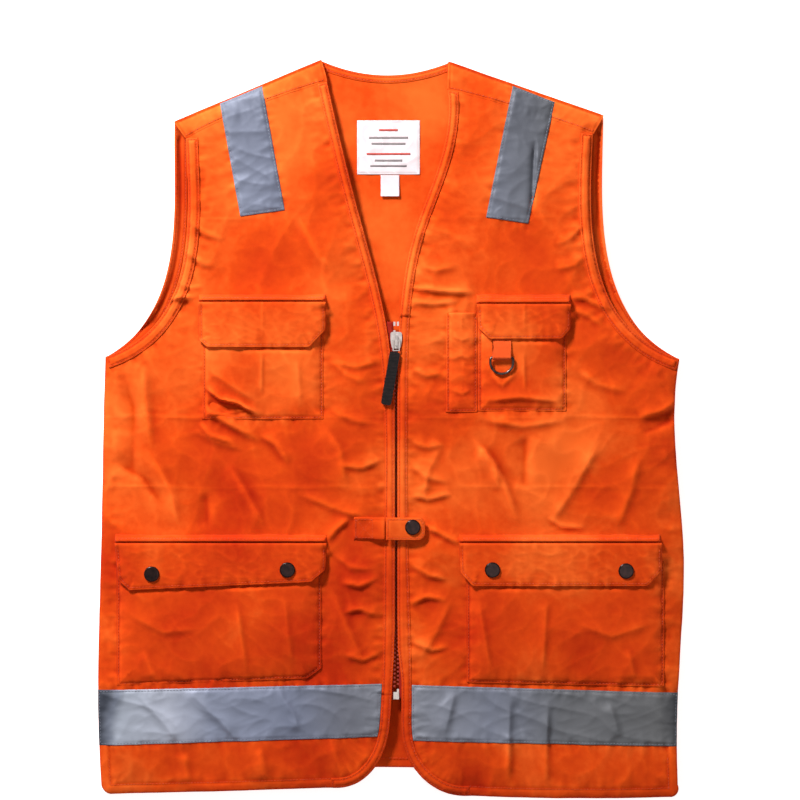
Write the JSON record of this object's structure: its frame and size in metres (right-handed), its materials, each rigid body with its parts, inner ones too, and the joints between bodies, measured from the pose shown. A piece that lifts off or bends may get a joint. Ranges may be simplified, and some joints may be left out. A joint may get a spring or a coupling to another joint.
{
  "type": "field vest",
  "caption": "Sleeveless blaze orange field vest laid flat, with a front zip, flapped pockets, pen pocket, waist tab, D-ring and grey reflective bands.",
  "frame": {"origin": "on the surface the vest lies on, under the middle of its outline", "axes": "+Y up to the neck, +X to the wearer's left, +Z out of the front"},
  "size_m": [0.5684, 0.7161, 0.0228],
  "materials": {
    "orange_cloth": "matte woven drill, blaze orange",
    "orange_binding": "folded and topstitched strips of the same cloth",
    "pocket_cloth": "matte woven drill, doubled and topstitched",
    "reflective_tape": "silver grey glass-bead tape",
    "zip_tape": "dark red woven tape",
    "zip_teeth": "dark moulded teeth",
    "zip_metal": "worn silver metal",
    "puller": "black soft moulded",
    "snap_metal": "gunmetal lacquer",
    "ring_metal": "dark nickel",
    "hook_loop": "hook and loop",
    "label": "white satin woven"
  },
  "bodies": {
    "back": {"back_panel": "orange_cloth", "back_neck_binding": "orange_binding", "back_armhole_binding_right": "orange_binding", "back_armhole_binding_left": "orange_binding", "side_seam_right": "orange_cloth", "side_seam_left": "orange_cloth", "back_hem_tape": "reflective_tape", "back_shoulder_tapes": "reflective_tape", "yoke_right": "orange_cloth", "yoke_left": "orange_cloth", "main_label": "label"},
    "front_right": {"front_panel_right": "orange_cloth", "front_facing_right": "orange_binding", "front_armhole_binding_right": "orange_binding", "shoulder_tape_right": "reflective_tape", "hem_tape_right": "reflective_tape", "chest_pocket_right": "pocket_cloth", "chest_flap_seam_right": "pocket_cloth", "loop_strip_right": "hook_loop", "lower_pocket_right": "pocket_cloth", "lower_flap_seam_right": "pocket_cloth", "pocket_snap_studs_right": "snap_metal", "zip_tape_right": "zip_tape", "zip_teeth_right": "zip_teeth", "zip_retainer_box": "zip_metal", "waist_tab_base": "pocket_cloth"},
    "front_left": {"front_panel_left": "orange_cloth", "front_facing_left": "orange_binding", "front_armhole_binding_left": "orange_binding", "shoulder_tape_left": "reflective_tape", "hem_tape_left": "reflective_tape", "chest_pocket_left": "pocket_cloth", "chest_flap_seam_left": "pocket_cloth", "loop_strip_left": "hook_loop", "pen_pocket": "pocket_cloth", "lower_pocket_left": "pocket_cloth", "lower_flap_seam_left": "pocket_cloth", "pocket_snap_studs_left": "snap_metal", "zip_tape_left": "zip_tape", "zip_teeth_left": "zip_teeth", "zip_insertion_pin": "zip_metal", "waist_snap_stud": "snap_metal", "d_ring_loop": "pocket_cloth"},
    "zip_slider": {"zip_slider": "zip_metal"},
    "zip_pull": {"zip_pull_link": "zip_metal", "zip_puller": "puller"},
    "waist_tab": {"waist_tab": "pocket_cloth", "waist_snap_cap": "snap_metal"},
    "chest_flap_right": {"chest_flap_right": "pocket_cloth", "hook_strip_right": "hook_loop"},
    "chest_flap_left": {"chest_flap_left": "pocket_cloth", "hook_strip_left": "hook_loop"},
    "lower_flap_right": {"lower_flap_right": "pocket_cloth", "pocket_snap_caps_right": "snap_metal"},
    "lower_flap_left": {"lower_flap_left": "pocket_cloth", "pocket_snap_caps_left": "snap_metal"},
    "d_ring": {"d_ring": "ring_metal"},
    "size_tag": {"size_tag": "label"}
  },
  "joints": [
    {"name": "front_right_open", "type": "hinge", "parent": "back", "child": "front_right", "pos_m": [-0.2846, 0, 0.01025], "axis": [0, -1, 0], "range_deg": [0, 25]},
    {"name": "front_left_open", "type": "hinge", "parent": "back", "child": "front_left", "pos_m": [0.2846, 0, 0.01025], "axis": [0, 1, 0], "range_deg": [0, 26]},
    {"name": "zip_travel", "type": "slide", "parent": "front_right", "child": "zip_slider", "axis": [0, -1, 0], "range_m": [0, 0.33]},
    {"name": "zip_pull_swing", "type": "hinge", "parent": "zip_slider", "child": "zip_pull", "pos_m": [0.005, 0.086, 0.0145], "axis": [-1, 0, 0], "range_deg": [0, 150]},
    {"name": "waist_tab_lift", "type": "hinge", "parent": "front_right", "child": "waist_tab", "pos_m": [-0.005, -0.0965, 0.0172], "axis": [0, -1, 0], "range_deg": [0, 150]},
    {"name": "chest_flap_right_lift", "type": "hinge", "parent": "front_right", "child": "chest_flap_right", "pos_m": [-0.1245, 0.123, 0.0202], "axis": [-1, 0, 0], "range_deg": [0, 150]},
    {"name": "chest_flap_left_lift", "type": "hinge", "parent": "front_left", "child": "chest_flap_left", "pos_m": [0.1285, 0.121, 0.0202], "axis": [-1, 0, 0], "range_deg": [0, 150]},
    {"name": "lower_flap_right_lift", "type": "hinge", "parent": "front_right", "child": "lower_flap_right", "pos_m": [-0.1645, -0.11, 0.0202], "axis": [-1, 0, 0], "range_deg": [0, 150]},
    {"name": "lower_flap_left_lift", "type": "hinge", "parent": "front_left", "child": "lower_flap_left", "pos_m": [0.164, -0.11, 0.0202], "axis": [-1, 0, 0], "range_deg": [0, 150]},
    {"name": "d_ring_swing", "type": "hinge", "parent": "front_left", "child": "d_ring", "pos_m": [0.107, 0.0692, 0.0198], "axis": [-1, 0, 0], "range_deg": [0, 150]},
    {"name": "size_tag_lift", "type": "hinge", "parent": "back", "child": "size_tag", "pos_m": [-0.001, 0.247, 0.00295], "axis": [-1, 0, 0], "range_deg": [0, 90]}
  ],
  "couplings": [
    {"joint": "front_left_open", "follows": "front_right_open", "ratio": 1.04},
    {"joint": "zip_travel", "follows": "front_right_open", "m_per_rad": 0.756}
  ]
}
